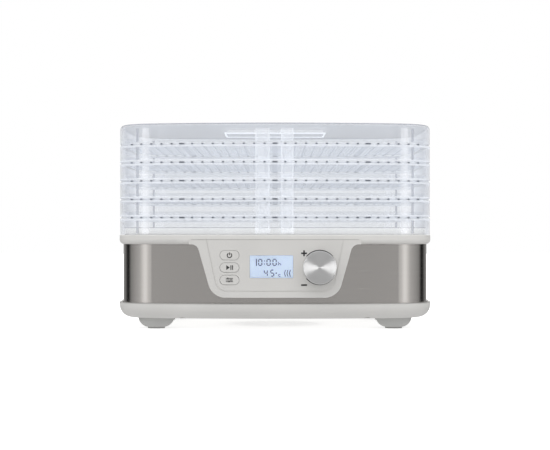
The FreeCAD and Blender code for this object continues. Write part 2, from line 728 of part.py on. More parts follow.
def housing_screws():
    """The screws up through the housing into the frame."""
    solids = []
    for x, y in HOUSING_SCREWS:
        shank = rod(M4_R - EDGE_TOL, (x, y, HEAD_LOW), M4_TOP - LIFT_GAP - HEAD_LOW, UP)
        solids.append(fused([shank, rod(M4_HEAD_R, (x, y, HEAD_LOW), M4_HEAD_H, UP)]))
    return solids


def cord_gland():
    """The rubber gland where the mains cord enters at the back."""
    inside = rear_wall_y(GLAND_X) - FRAME_IN - GLAND_INSIDE
    collar = rear_wall_y(GLAND_X) - BAND_INSET + GLAND_COLLAR_OUT
    middle = Vector(GLAND_X, collar, GLAND_Z)
    pieces = [rod(GLAND_FLANGE_R, (GLAND_X, inside, GLAND_Z), GLAND_FLANGE_T, BACK),
              rod(GLAND_R, (GLAND_X, inside, GLAND_Z), collar - inside, BACK),
              rod(GLAND_FLANGE_R - GLAND_COLLAR_OUT, middle, GLAND_COLLAR_T, BACK),
              Part.makeCone(GLAND_R, GLAND_R - GLAND_TAPER, REACH_Y - collar, middle, BACK)]
    return fused(pieces).cut(rod(GLAND_BORE_R, (GLAND_X, 0, GLAND_Z), DEPTH, BACK))


def rear_wall_y(x):
    """The outline's y at the back, at a given x."""
    return DEPTH / 2 - FRONT_R + math.sqrt(FRONT_R ** 2 - x ** 2)


def foot(x, y):
    """A domed round foot."""
    low = Vector(FOOT_R_LOW, 0, PAD_H)
    high = Vector(FOOT_R_TOP, 0, FOOT_TOP)
    arc = Part.Arc(low, Vector(FOOT_R_MID, 0, FOOT_MID_Z), high)
    corners = [high, Vector(0, 0, FOOT_TOP), Vector(0, 0, PAD_H), low]
    lines = [Part.LineSegment(a, b).toShape() for a, b in zip(corners, corners[1:])]
    shape = face_of([Part.Wire([arc.toShape()] + lines)]).revolve(Vector(0, 0, 0), UP, 360)
    shape.translate(Vector(x, y, 0))
    return shape


def grid_openings(z):
    """The wires of the openings in a tray's floor, between its ribs and cross bars."""
    reach_x = WIDTH / 2
    reach_y = DEPTH / 2
    strips = []
    for i in range(-RIB_COUNT, RIB_COUNT + 1):
        half = (WIDE_RIB_W if i in WIDE_RIBS else RIB_W) / 2
        x = i * RIB_PITCH
        strips.append(Part.makePlane(2 * half, 2 * reach_y, Vector(x - half, -reach_y, z)))
    for i in range(-BAR_COUNT, BAR_COUNT + 1):
        y = i * BAR_PITCH
        strips.append(Part.makePlane(2 * reach_x, BAR_W, Vector(-reach_x, y - BAR_W / 2, z)))
    field = face_of([outline(GRID_INSET + GRID_RIM, z)]).cut(strips)
    return [f.OuterWire for f in field.Faces if f.Area > BAR_W * RIB_W]


def stacking_posts(inset, low, high):
    """Raised posts on the inside of a skirt: two in front and, turned half round, two behind."""
    band = ring(inset - SKIN_GAP, POST_INSET, low, high)
    posts = []
    for x, width in POSTS:
        for sy in (-1, 1):
            near = sorted((-sy * x - width / 2, -sy * x + width / 2))
            span = sorted((0, sy * DEPTH))
            posts.append(band.common(box((near[0], span[0], low), (near[1], span[1], high))))
    return posts


def first_tray():
    """The lowest tray's wall: a skirt, a ledge near its top, and a lip for the next skirt."""
    low = SHOULDER_TOP
    ledge_low = low + FLOOR_TOP - FLOOR_T
    skirt = ring(RING_INSET, RING_INSET + RING_T, low + LIFT_GAP, ledge_low + FLOOR_T / 3)
    ledge = ring(FLOOR_INSET, GRID_INSET, ledge_low, low + FLOOR_TOP)
    lip = ring(LIP_INSET, LIP_INSET + LIP_T, ledge_low + FLOOR_T / 2, low + FLOOR_TOP + LIP_H)
    posts = stacking_posts(RING_INSET + RING_T, low + POST_LOW, ledge_low + FLOOR_T / 3)
    return fused([ledge, skirt, lip] + posts)


def first_grid():
    """The lowest tray's floor inside the ledge: ribs, cross bars and a thin rim."""
    low = SHOULDER_TOP + FLOOR_TOP - FLOOR_T
    wires = [outline(GRID_INSET, low)] + grid_openings(low)
    return face_of(wires).extrude(UP * FLOOR_T)


def lid():
    """The clear lid: a skirt and a flat top with vents and a sunken middle panel."""
    low = SHOULDER_TOP + TRAY_COUNT * TRAY_PITCH + LIFT_GAP
    outer = round_level(prism(LID_INSET, low, LID_TOP), LID_TOP, LID_R)
    inner = prism(LID_INSET + LID_T, low - LID_T, LID_TOP - LID_T)
    inner = round_level(inner, LID_TOP - LID_T, LID_R - LID_T)
    well = rectangle(0, 0, PANEL_RECESS_W, PANEL_RECESS_D, PANEL_RECESS_R)
    grown = rectangle(0, 0, PANEL_RECESS_W + 2 * LID_T, PANEL_RECESS_D + 2 * LID_T, PANEL_RECESS_R + LID_T)
    dish = face_of([rounded_wire(grown, on_floor(LID_TOP - LID_T - PANEL_RECESS_H))])
    dish = dish.extrude(UP * (LID_T + PANEL_RECESS_H / 2))
    hollow = face_of([rounded_wire(well, on_floor(LID_TOP - PANEL_RECESS_H))]).extrude(UP * LID_T * 2)
    posts = stacking_posts(LID_INSET + LID_T, low + POST_LOW, LID_TOP - LID_T / 2)
    shell = fused([outer.cut(inner), dish] + posts).cut(hollow)
    vents = []
    for sx in (-1, 1):
        for i in range(VENT_COUNT):
            y = (i - (VENT_COUNT - 1) / 2) * VENT_PITCH
            slot = rectangle(sx * VENT_X, y, VENT_L, VENT_W, VENT_W / 2 - EDGE_TOL)
            face = face_of([rounded_wire(slot, on_floor(LID_TOP - 2 * LID_T))])
            vents.append(face.extrude(UP * 3 * LID_T))
    return shell.cut(vents)


def build():
    """Every sub-part by name; a list is a group of identical or loose solids."""
    parts = {
        "base_housing": base_housing(),
        "intake_grille": grille(INTAKE_R, FOOT_TOP + WALL - GRILLE_T),
        "steel_band": steel_band(),
        "body_frame": body_frame(),
        "top_deck": top_deck(),
        "outlet_grille": grille(OUTLET_R, SHOULDER_TOP - GRILLE_T),
        "control_fascia": control_fascia(),
        "display_window": display_window(),
        "lcd_module": lcd_module(),
        "control_board": control_board(),
        "board_screws": board_screws(),
        "tact_switches": tact_switches(),
        "rotary_encoder": rotary_encoder(),
        "encoder_shaft": encoder_shaft(),
        "knob_core": knob_core(),
        "knob_cap": knob_cap(),
        "fan_shroud": fan_shroud(),
        "motor_bracket": motor_bracket(),
        "fan_motor": fan_motor(),
        "motor_screws": motor_screws(),
        "motor_shaft": motor_shaft(),
        "fan_impeller": fan_impeller(),
        "heater_frame": heater_frame(),
        "heater_coil": heater_rings(COIL_WIRE_R),
        "thermostat": thermostat(),
        "thermal_fuse": thermal_fuse(),
        "temperature_sensor": temperature_sensor(),
        "power_board": power_board(),
        "power_board_parts": power_board_parts(),
        "power_board_screws": power_board_screws(),
        "housing_screws": housing_screws(),
        "cord_gland": cord_gland(),
        "lid": lid(),
    }
    for name, z in BUTTON_Z.items():
        parts[name] = push_button(z)
    for side, sx in (("left", -1), ("right", 1)):
        for end, sy in (("front", -1), ("rear", 1)):
            parts[f"foot_{end}_{side}"] = foot(sx * FOOT_X, sy * FOOT_Y)
            parts[f"foot_pad_{end}_{side}"] = rod(PAD_R, (sx * FOOT_X, sy * FOOT_Y, 0), PAD_H, UP)
    for ending, shape in (("", first_tray()), ("_grid", first_grid())):
        for i in range(TRAY_COUNT):
            copy = shape.copy()
            copy.translate(UP * (i * TRAY_PITCH))
            parts[f"tray_{i + 1}{ending}"] = copy
    return parts


def main():
    os.makedirs("parts", exist_ok=True)
    for name, shape in build().items():
        whole = Part.makeCompound(shape) if isinstance(shape, list) else shape
        whole.exportStep(f"parts/{name}.step")
        print(name, len(whole.Solids), "solids", round(whole.Volume / 1000, 2), "cm3", whole.isValid())


main()
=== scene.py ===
import json
import math

import bpy
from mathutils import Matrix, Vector


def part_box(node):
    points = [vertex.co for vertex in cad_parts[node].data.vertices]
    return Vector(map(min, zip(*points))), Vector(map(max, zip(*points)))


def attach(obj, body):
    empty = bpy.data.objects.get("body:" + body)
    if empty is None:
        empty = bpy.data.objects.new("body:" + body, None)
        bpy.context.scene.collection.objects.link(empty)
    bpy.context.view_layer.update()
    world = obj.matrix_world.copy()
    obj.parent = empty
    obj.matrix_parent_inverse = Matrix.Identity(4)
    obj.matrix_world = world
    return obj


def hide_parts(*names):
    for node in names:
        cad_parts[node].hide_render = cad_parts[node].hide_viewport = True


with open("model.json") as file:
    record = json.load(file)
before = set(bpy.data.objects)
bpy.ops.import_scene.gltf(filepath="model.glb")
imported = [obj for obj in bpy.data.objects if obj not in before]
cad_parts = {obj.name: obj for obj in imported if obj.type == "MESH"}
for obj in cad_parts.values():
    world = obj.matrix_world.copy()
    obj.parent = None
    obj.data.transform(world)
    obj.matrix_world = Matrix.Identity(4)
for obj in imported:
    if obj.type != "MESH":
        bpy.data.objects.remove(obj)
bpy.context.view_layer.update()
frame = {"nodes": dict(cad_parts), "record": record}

MM = 0.001
FRONT = Vector((0, 1, 0))

# ---- view ----
CAMERA_DISTANCE = 1.5  # from the front of the trays
CAMERA_HEIGHT = 0.098
CAMERA_LENS = 96
CAMERA_SHIFT = 0.018

# ---- light from above and below, and round about from straight in front (0) to straight behind (1) ----
TOP_LIGHT = (1.5, 1.5, 1.5)
LOW_LIGHT = (0.75, 0.75, 0.75)
GLOSS_TOP_LIGHT = (0.8, 0.8, 0.8)
ROOM = ((0.0, 0.5), (0.27, 0.5), (0.295, 2.2), (0.335, 2.2), (0.37, 0.75), (0.62, 0.3),
        (0.76, 0.02), (0.85, 0.02), (0.9, 0.2), (0.95, 1.0), (1.0, 1.0))  # for matt surfaces
BACKLIGHT = ((0.0, 0.4), (0.5, 0.45), (0.8, 0.55), (0.9, 0.95), (1.0, 1.0))  # through the display window
FLOOR_TONE = 0.92
FLOOR_GLOW = 0.55
FLOOR_HALF = 6.0
KNOB_LIGHT_OUT = 1.1  # to each side of the knob, and in front of it
KNOB_LIGHT_W = 0.5
KNOB_LIGHT_H = 1.0
KNOB_LIGHT_POWER = 9.5

# ---- the studio that shiny surfaces see; places run from straight in front (0) to straight behind (1) ----
FRONT_WALL = 0.45
STRIP_AT = 0.265  # a tall strip light on each side, about half way from the front to the side
STRIP_HALF = 0.015
STRIP_SPREAD = 0.1
STRIP_LEVEL = 1.15
SIDE_WALL = 0.6
FLAG_AT = 0.65  # a black flag on each side, somewhat behind square on
FLAG_HALF = 0.03
FLAG_EDGE = 0.05
FLAG_SHADE = 0.3
BACK_WALL = 0.15
BACKDROP = 0.6

# ---- trays ----
RIB_PITCH = 10.65 * MM
RIB_COUNT = 14  # on each side of the middle rib
RIB_W = 2.2 * MM
RIB_H = 1.6 * MM
WIDE_RIBS = (-9, 0, 9)
WIDE_RIB_W = 5.4 * MM
RIB_END_H = 1.6 * MM
RIB_END_IN = 4.2 * MM  # from the lip's inner face outwards to where the rib ends stop
WIRE_PITCH = 4.2 * MM
WIRES_PER_RIB = 3
WIRE_W = 0.7 * MM
WIRE_H = 0.9 * MM
RIM_W = 1.6 * MM
BEAD_OUT = 0.4 * MM
BEAD_IN = 0.3 * MM
UPPER_BEAD_H = 2.0 * MM
LOWER_BEAD_H = 1.3 * MM
PATH_STEPS = 360
PATH_FROM = 0.4  # well outside the object, where the rays that find its walls start
ROD_BEVEL = 0.45  # of half the rod's smaller side
BEAD_EASE = 0.7  # of how far the bead stands out
CORNER_X = 119.5 * MM  # the centres of the rounded corners
CORNER_Y = 68 * MM
FIN_ANGLE = 34.0  # degrees round a corner, from the front or back
FIN_T = 1.2 * MM
FIN_W = 2.2 * MM
FIN_SINK = 0.5 * MM
CORNER_HIGHLIGHT = (14.5, 25.0)  # degrees round a corner, where the painted highlight lies
POSTS = ((-12.8 * MM, 14.6 * MM), (12.6 * MM, 12.8 * MM))  # middle x and width of the front pair
POST_STEPS = 4
POST_SKIN = 0.3 * MM
POST_EDGE = 1.3 * MM
POST_RISE = 0.8 * MM
PANEL_HALF_X = 54 * MM
PANEL_HALF_Y = 31.5 * MM
PANEL_DROP = 5.0 * MM
PANEL_RIM_W = 2 * MM
PANEL_RIM_H = 1.6 * MM
LID_LINE = ((-0.5, -1.5), (0.1, -1.5), (-1.1, -0.5), (-1.6, -0.5))  # mm outwards, and up from the top
EDGE_LINE = ((-0.8, -0.1), (0.2, -0.45), (0.3, 0.0), (-0.5, 0.2))  # the same
LID_LINE_DOWN = 1.5 * MM  # how far below the top the wall is probed for these lines
EDGE_LINE_DOWN = 2 * MM
BEAD_UP = 8 * MM  # and how far above a tray's bottom, for its beads
CORNER_HIGHLIGHT_DROP = 5 * MM  # how far below the lid's top its corner fins and painted highlights end
POST_DROP = 6 * MM  # and its other posts
SEAM_PROUD = 0.05 * MM
SEAM_H = 0.5 * MM
SEAM_IN = 2.5 * MM
SEAM_STEPS = 48

# ---- painted light on the plinth: its fade from the shoulder's tone to a paler, glowing one above ----
FADE_H = 7 * MM
FADE_STEP = 0.2  # most of the change comes in this first share of the height
FADE_STEP_LIFT = 0.7
FADE_STEP_GLOW = 0.45

# ---- clear plastic, by how nearly edge on it is seen: 0 is square on, 1 edge on ----
# painted shading of the body: lighter a little short of edge on, darker right at the edge
RIM_PAINTED_SHADING = ((0.0, 1.0), (0.45, 1.0), (0.62, 1.14), (0.84, 1.12), (0.92, 0.62), (1.0, 0.40))
BODY_SHARE = ((0.0, 0.07), (0.45, 0.09), (0.6, 0.2), (0.85, 0.36), (1.0, 0.8))
LEVEL_PAINTED_SHADE = 0.6  # painted shade: a factor on the clear plastic's body where it lies level, under the top light

# ---- display ----
DIGIT_W = 4.3 * MM
DIGIT_H = 7.2 * MM
STROKE = 1.0 * MM
SEGMENTS = {"0": "abcdef", "1": "bc", "4": "bcfg", "5": "acdfg", "h": "cefg", "c": "deg"}

# ---- marks round the knob, and the painted shadow above and below it ----
TURN_MARK_LEFT = 16.0 * MM  # of the knob's middle
TURN_MARK_HALF = 3.0 * MM
PLUS_UP = 14.5 * MM
PLUS_STROKE = 1.6 * MM
MINUS_DOWN = 18.0 * MM
MINUS_STROKE = 1.7 * MM
KNOB_SHADOW_OUT = 0.35 * MM
KNOB_SHADOW_W = 1.0 * MM
KNOB_SHADOW_STARTS = (40, 220)  # degrees
KNOB_SHADOW_SWEEP = 100
KNOB_SHADOW_STEPS = 30


# ------------------------------------------------------------------ materials

def new_material(name):
    """An empty node material, its node tree and its output node."""
    made = bpy.data.materials.new(name)
    made.use_nodes = True
    made.node_tree.nodes.clear()
    return made, made.node_tree, made.node_tree.nodes.new("ShaderNodeOutputMaterial")


def principled(tree, **inputs):
    """A Principled shader with the named inputs set; underscores stand for spaces."""
    node = tree.nodes.new("ShaderNodeBsdfPrincipled")
    for key, value in inputs.items():
        node.inputs[key.replace("_", " ")].default_value = value
    return node


def noise(tree, scale, detail=3, stretch=None):
    """A noise texture in object coordinates, stretched along an axis if asked."""
    coords = tree.nodes.new("ShaderNodeTexCoord")
    source = coords.outputs["Object"]
    if stretch:
        mapping = tree.nodes.new("ShaderNodeMapping")
        mapping.inputs["Scale"].default_value = stretch
        tree.links.new(source, mapping.inputs["Vector"])
        source = mapping.outputs["Vector"]
    texture = tree.nodes.new("ShaderNodeTexNoise")
    texture.inputs["Scale"].default_value = scale
    texture.inputs["Detail"].default_value = detail
    tree.links.new(source, texture.inputs["Vector"])
    return texture.outputs["Fac"]


def ramp(tree, source, stops):
    """A colour ramp over (position, colour) stops."""
    node = tree.nodes.new("ShaderNodeValToRGB")
    elements = node.color_ramp.elements
    while len(elements) > 1:
        elements.remove(elements[-1])
    elements[0].position = stops[0][0]
    elements[0].color = (*stops[0][1], 1)
    for position, colour in stops[1:]:
        elements.new(position).color = (*colour, 1)
    tree.links.new(source, node.inputs["Fac"])
    return node.outputs["Color"]


def levels(tree, source, stops):
    """A grey ramp over (position, level) stops."""
    return ramp(tree, source, [(position, (level,) * 3) for position, level in stops])


def shade(colour, factor):
    """A colour made lighter or darker."""
    return tuple(min(1.0, c * factor) for c in colour)


def bump(tree, height, strength, distance):
    """A bump normal from a height."""
    node = tree.nodes.new("ShaderNodeBump")
    node.inputs["Strength"].default_value = strength
    node.inputs["Distance"].default_value = distance
    tree.links.new(height, node.inputs["Height"])
    return node.outputs["Normal"]


def moulded(name, colour, roughness=0.45, grain=900, vary=0.03, strength=0.12):
    """Moulded plastic: a fine texture, with faint changes of tone."""
    made, tree, out = new_material(name)
    shader = principled(tree, Roughness=roughness)
    tone = noise(tree, 25, 2)
    stops = [(0.3, shade(colour, 1 - vary)), (0.7, shade(colour, 1 + vary))]
    tree.links.new(ramp(tree, tone, stops), shader.inputs["Base Color"])
    tree.links.new(bump(tree, noise(tree, grain, 4), strength, 0.0002), shader.inputs["Normal"])
    tree.links.new(shader.outputs["BSDF"], out.inputs["Surface"])
    return made


def brushed(name, colour, roughness, stretch, anisotropy, axis, turn=0.0):
    """Metal with a brushed or turned grain round an axis."""
    made, tree, out = new_material(name)
    shader = principled(tree, Metallic=1.0, Anisotropic=anisotropy, Anisotropic_Rotation=turn)
    grain = noise(tree, 60, 6, stretch)
    tone = ramp(tree, grain, [(0.3, shade(colour, 0.93)), (0.7, colour)])
    tree.links.new(tone, shader.inputs["Base Color"])
    level = levels(tree, grain, [(0.25, roughness * 0.85), (0.75, roughness * 1.15)])
    tree.links.new(level, shader.inputs["Roughness"])
    tangent = tree.nodes.new("ShaderNodeTangent")
    tangent.direction_type = "RADIAL"
    tangent.axis = axis
    tree.links.new(tangent.outputs["Tangent"], shader.inputs["Tangent"])
    tree.links.new(shader.outputs["BSDF"], out.inputs["Surface"])
    return made


def clear(name, colour, roughness=0.03):
    """Clear moulded plastic."""
    made, tree, out = new_material(name)
    shader = principled(tree, Transmission_Weight=1.0, IOR=1.49, Roughness=roughness)
    tone = ramp(tree, noise(tree, 18, 2), [(0.3, shade(colour, 0.985)), (0.7, colour)])
    tree.links.new(tone, shader.inputs["Base Color"])
    tree.links.new(bump(tree, noise(tree, 140, 2), 0.05, 0.0003), shader.inputs["Normal"])
    tree.links.new(shader.outputs["BSDF"], out.inputs["Surface"])
    return made


def multiply(tree, first, second):
    """Two colours multiplied."""
    node = tree.nodes.new("ShaderNodeMix")
    node.data_type = "RGBA"
    node.blend_type = "MULTIPLY"
    node.inputs[0].default_value = 1.0
    tree.links.new(first, node.inputs[6])
    tree.links.new(second, node.inputs[7])
    return node.outputs[2]


def painted_light_above(name, colour, upper, z, glow):
    """Moulded plastic with painted light above a height: a paler base colour and a glow stand for light piped
    down by the clear trays.
    """
    made = moulded(name, colour)
    tree = made.node_tree
    shader = next(n for n in tree.nodes if n.type == "BSDF_PRINCIPLED")
    base = shader.inputs["Base Color"].links[0].from_socket
    coords = tree.nodes.new("ShaderNodeTexCoord")
    split = tree.nodes.new("ShaderNodeSeparateXYZ")
    tree.links.new(coords.outputs["Object"], split.inputs["Vector"])
    spread = tree.nodes.new("ShaderNodeMapRange")
    spread.inputs["From Min"].default_value = z
    spread.inputs["From Max"].default_value = z + FADE_H
    tree.links.new(split.outputs["Z"], spread.inputs["Value"])
    # painted light: the base colour is lifted and an emission added over the fade
    gain = [u / c for u, c in zip(upper, colour)]
    step = [1 + FADE_STEP_LIFT * (g - 1) for g in gain]
    lift = ramp(tree, spread.outputs["Result"], [(0.0, (1.0,) * 3), (FADE_STEP, step), (1.0, gain)])
    tree.links.new(multiply(tree, base, lift), shader.inputs["Base Color"])
    dim = shade(upper, FADE_STEP_GLOW)
    shine = ramp(tree, spread.outputs["Result"], [(0.0, (0.0,) * 3), (FADE_STEP, dim), (1.0, upper)])
    tree.links.new(shine, shader.inputs["Emission Color"])
    shader.inputs["Emission Strength"].default_value = glow
    return made


def thin_clear(name, tint, body, stops, gloss, glow, roughness=0.06):
    """Thin clear moulding: it tints what is behind it, and shows more body and gloss seen edge on. Its body
    glows, which is painted light, with painted shading by how nearly edge on it is seen and painted shade
    where it lies level.
    """
    made, tree, out = new_material(name)
    see = tree.nodes.new("ShaderNodeBsdfTransparent")
    see.inputs["Color"].default_value = (*tint, 1)
    shader = principled(tree, Roughness=0.35, Emission_Strength=glow)
    weight = tree.nodes.new("ShaderNodeLayerWeight")
    weight.inputs["Blend"].default_value = 0.5
    tone = ramp(tree, noise(tree, 22, 2), [(0.3, shade(body, 0.96)), (0.7, shade(body, 1.03))])
    # painted shading by how nearly edge on the surface is seen
    painted_rim = levels(tree, weight.outputs["Facing"], RIM_PAINTED_SHADING)
    tone = multiply(tree, tone, painted_rim)
    geometry = tree.nodes.new("ShaderNodeNewGeometry")
    split = tree.nodes.new("ShaderNodeSeparateXYZ")
    tree.links.new(geometry.outputs["Normal"], split.inputs["Vector"])
    # painted shade on faces that lie level
    level = levels(tree, split.outputs["Z"], [(0.3, 1.0), (0.8, LEVEL_PAINTED_SHADE)])
    tone = multiply(tree, tone, level)
    tree.links.new(tone, shader.inputs["Base Color"])
    tree.links.new(tone, shader.inputs["Emission Color"])
    share = levels(tree, weight.outputs["Facing"], stops)
    mix = tree.nodes.new("ShaderNodeMixShader")
    tree.links.new(share, mix.inputs[0])
    tree.links.new(see.outputs["BSDF"], mix.inputs[1])
    tree.links.new(shader.outputs["BSDF"], mix.inputs[2])
    sheen = tree.nodes.new("ShaderNodeBsdfGlossy")
    sheen.inputs["Roughness"].default_value = roughness
    ripple = bump(tree, noise(tree, 110, 2), 0.04, 0.0003)
    tree.links.new(ripple, sheen.inputs["Normal"])
    top = tree.nodes.new("ShaderNodeMixShader")
    edge = levels(tree, weight.outputs["Facing"], [(0.0, gloss), (0.6, gloss), (1.0, gloss * 3)])
    tree.links.new(edge, top.inputs[0])
    tree.links.new(mix.outputs["Shader"], top.inputs[1])
    tree.links.new(sheen.outputs["BSDF"], top.inputs[2])
    tree.links.new(top.outputs["Shader"], out.inputs["Surface"])
    return made


def hazy(name, colour, alpha, roughness=0.3, glow=0.0):
    """Clear plastic so finely worked that it reads as a haze; glow is painted light, an emission that stands
    for the light it pipes to its edges.
    """
    made, tree, out = new_material(name)
    shader = principled(tree, Roughness=roughness, Alpha=alpha, Emission_Strength=glow)
    tone = ramp(tree, noise(tree, 60, 2), [(0.3, shade(colour, 0.95)), (0.7, shade(colour, 1.05))])
    tree.links.new(tone, shader.inputs["Base Color"])
    tree.links.new(tone, shader.inputs["Emission Color"])
    tree.links.new(shader.outputs["BSDF"], out.inputs["Surface"])
    return made


def lit(name, colour, strength):
    """A softly glowing surface, uneven as a backlight is."""
    made, tree, out = new_material(name)
    shader = principled(tree, Roughness=0.4, Emission_Strength=strength)
    tone = ramp(tree, noise(tree, 40, 1), [(0.3, shade(colour, 0.93)), (0.7, shade(colour, 1.05))])
    tree.links.new(tone, shader.inputs["Base Color"])
    tree.links.new(tone, shader.inputs["Emission Color"])
    tree.links.new(shader.outputs["BSDF"], out.inputs["Surface"])
    return made


CREAM = (0.72, 0.71, 0.69)
DECK_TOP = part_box("tray_1")[0][2]
MATERIALS = {
    "cream_plastic": moulded("cream_plastic", CREAM),
    # the deck carries painted light: paler and glowing above the bottom of the lowest tray
    "deck_painted_light": painted_light_above("deck_painted_light", (0.76, 0.75, 0.73), (0.97, 0.965, 0.945), DECK_TOP, 0.26),
    "grey_plastic": moulded("grey_plastic", (0.52, 0.52, 0.505)),
    "brushed_steel": brushed("brushed_steel", (0.62, 0.595, 0.57), 0.24, (0.3, 0.3, 60), 0.75, "Z", 0.25),
    "inner_plastic": moulded("inner_plastic", (0.10, 0.10, 0.105)),
    # the clear plastic's glow is painted light
    "clear_plastic": thin_clear("clear_plastic", (0.975, 0.981, 0.99), (0.77, 0.785, 0.82),
                                BODY_SHARE, 0.08, 0.57),
    # the glows of the hazy materials here and below are painted light
    "grid_plastic": hazy("grid_plastic", (0.715, 0.735, 0.765), 0.3, glow=0.33),
    "window_plastic": clear("window_plastic", (0.97, 0.985, 1.0)),
    "outlet_plastic": moulded("outlet_plastic", (0.60, 0.60, 0.59)),
    "display": lit("display", (0.565, 0.66, 0.815), 0.43),
    "board": moulded("board", (0.02, 0.13, 0.05), 0.3),
    "component_plastic": moulded("component_plastic", (0.02, 0.02, 0.022), 0.4),
    "plated_steel": brushed("plated_steel", (0.55, 0.55, 0.55), 0.3, (1, 1, 1), 0.0, "Z"),
    "turned_aluminium": brushed("turned_aluminium", (0.70, 0.70, 0.70), 0.38, (1, 1, 1), 0.9, "Y", 0.25),
    "rubber": moulded("rubber", (0.36, 0.36, 0.35), 0.7),
    "heating_wire": brushed("heating_wire", (0.30, 0.26, 0.23), 0.4, (1, 1, 1), 0.0, "Z"),
    "mica": moulded("mica", (0.45, 0.40, 0.28), 0.5),
    "rib_plastic": hazy("rib_plastic", (0.52, 0.55, 0.60), 0.32, glow=0.29),
    # painted shade: rib ends nearly black where the ribs meet the wall
    "rib_end_painted_shade": hazy("rib_end_painted_shade", (0.10, 0.12, 0.16), 0.9),
    "wire_plastic": hazy("wire_plastic", (0.68, 0.70, 0.73), 0.3, glow=0.34),
    # painted shade: darkish fins for the dark line at each rounded corner
    "fin_painted_shade": hazy("fin_painted_shade", (0.46, 0.48, 0.53), 0.4, glow=0.2),
    # painted shade: dark lines along the top of the lid and the top of the plinth
    "painted_shade_line": hazy("painted_shade_line", (0.36, 0.38, 0.44), 0.5),
    # painted highlight on the rim of the lid's sunken panel
    "painted_glint": hazy("painted_glint", (0.90, 0.91, 0.93), 0.8, glow=0.4),
    # painted highlights along the edges of the posts
    "post_edge_painted_highlight": hazy("post_edge_painted_highlight", (0.86, 0.875, 0.90), 0.33, glow=0.36),
    # painted highlight: pale, glowing faces inside the rounded corners
    "corner_painted_highlight": hazy("corner_painted_highlight", (0.87, 0.87, 0.885), 0.24, glow=0.43),
    # painted light: bright beads round the tray walls
    "bead_painted_glow": hazy("bead_painted_glow", (0.84, 0.86, 0.90), 0.42, glow=0.27),
    # pale post faces with a glow that is painted light
    "post_painted_glow": hazy("post_painted_glow", (0.85, 0.865, 0.89), 0.27, glow=0.42),
    # painted shadow in the seams at the top of the fascia and of the housing
    "seam_shadow": moulded("seam_shadow", (0.50, 0.495, 0.48)),
    # used for printed marks and for the painted shadow arcs at the knob
    "print": moulded("print", (0.025, 0.025, 0.027), 0.5),
    "segment": moulded("segment", (0.015, 0.04, 0.13), 0.5),
}

NODE_MATERIALS = {"top_deck": "deck_painted_light"}

for entry in frame["record"]["subparts"]:
    node = frame["nodes"][entry["node"]]
    node.data.materials.clear()
    node.data.materials.append(MATERIALS[NODE_MATERIALS.get(entry["node"], entry["material_slot"])])


# ------------------------------------------------------------------ pieces

def mesh_object(name, points, faces, material):
    """A mesh object in the row frame."""
    mesh = bpy.data.meshes.new(name)
    mesh.from_pydata([tuple(p) for p in points], [], faces)
    mesh.update()
    made = bpy.data.objects.new(name, mesh)
    bpy.context.scene.collection.objects.link(made)
    made.data.materials.append(material)
    return made


def surface_y(node, x, z):
    """Where the front of a CAD node is, at a given x and z."""
    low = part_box(node)[0]
    start = Vector((x, low[1] - 0.05, z))
    hit, place, _, _ = frame["nodes"][node].ray_cast(start, FRONT)
    return place.y if hit else low[1]


def decal(name, shapes, node, body, material, proud=0.12 * MM, sink=0.05 * MM):
    """Thin printed or inlaid shapes that follow a node's front; each is a list of (x, z) points."""
    points = []
    faces = []
    for shape in shapes:
        base = len(points)
        count = len(shape)
        depths = [surface_y(node, x, z) for x, z in shape]
        points += [(x, y - proud, z) for (x, z), y in zip(shape, depths)]
        points += [(x, y + sink, z) for (x, z), y in zip(shape, depths)]
        faces.append([base + i for i in range(count)])
        faces.append([base + count + i for i in reversed(range(count))])
        for i in range(count):
            j = (i + 1) % count
            faces.append([base + j, base + i, base + count + i, base + count + j])
    made = mesh_object(name, points, faces, material)
    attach(made, body)
    return made


def reach(node, start, direction):
    """How far it is from a point inside a CAD node to the wall round it."""
    hit, place, _, _ = frame["nodes"][node].ray_cast(Vector(start), Vector(direction))
    return (place - Vector(start)).length if hit else 0.0


def prism_run(start, end, width, height, points, faces):
    """Adds a straight rod with bevelled long edges, level, between two points."""
    along = (Vector(end) - Vector(start)).normalized()
    side = Vector((-along.y, along.x, 0))
    a, b = width / 2, height / 2
    bevel = min(a, b) * ROD_BEVEL
    section = [(-a, -b + bevel), (-a + bevel, -b), (a - bevel, -b), (a, -b + bevel),
               (a, b - bevel), (a - bevel, b), (-a + bevel, b), (-a, b - bevel)]
    base = len(points)
    count = len(section)
    for place in (start, end):
        points += [Vector(place) + side * u + Vector((0, 0, v)) for u, v in section]
    faces.append([base + i for i in range(count)])
    faces.append([base + count + i for i in reversed(range(count))])
    for i in range(count):
        j = (i + 1) % count
        faces.append([base + j, base + i, base + count + i, base + count + j])


def bar(x0, z0, x1, z1, width):
    """A straight stroke between two points, as one quad."""
    along = Vector((x1 - x0, z1 - z0)).normalized() * (width / 2)
    side = Vector((-along.y, along.x))
    return [(x0 - side.x, z0 - side.y), (x1 - side.x, z1 - side.y),
            (x1 + side.x, z1 + side.y), (x0 + side.x, z0 + side.y)]


def arc_strip(cx, cz, radius, width, start, end, steps):
    """A curved stroke as quads; angles in degrees, 0 along +x."""
    quads = []
    for i in range(steps):
        a, b = (math.radians(start + (end - start) * k / steps) for k in (i, i + 1))
        r0, r1 = radius - width / 2, radius + width / 2
        corners = ((r0, a), (r1, a), (r1, b), (r0, b))
        quads.append([(cx + r * math.cos(t), cz + r * math.sin(t)) for r, t in corners])
    return quads


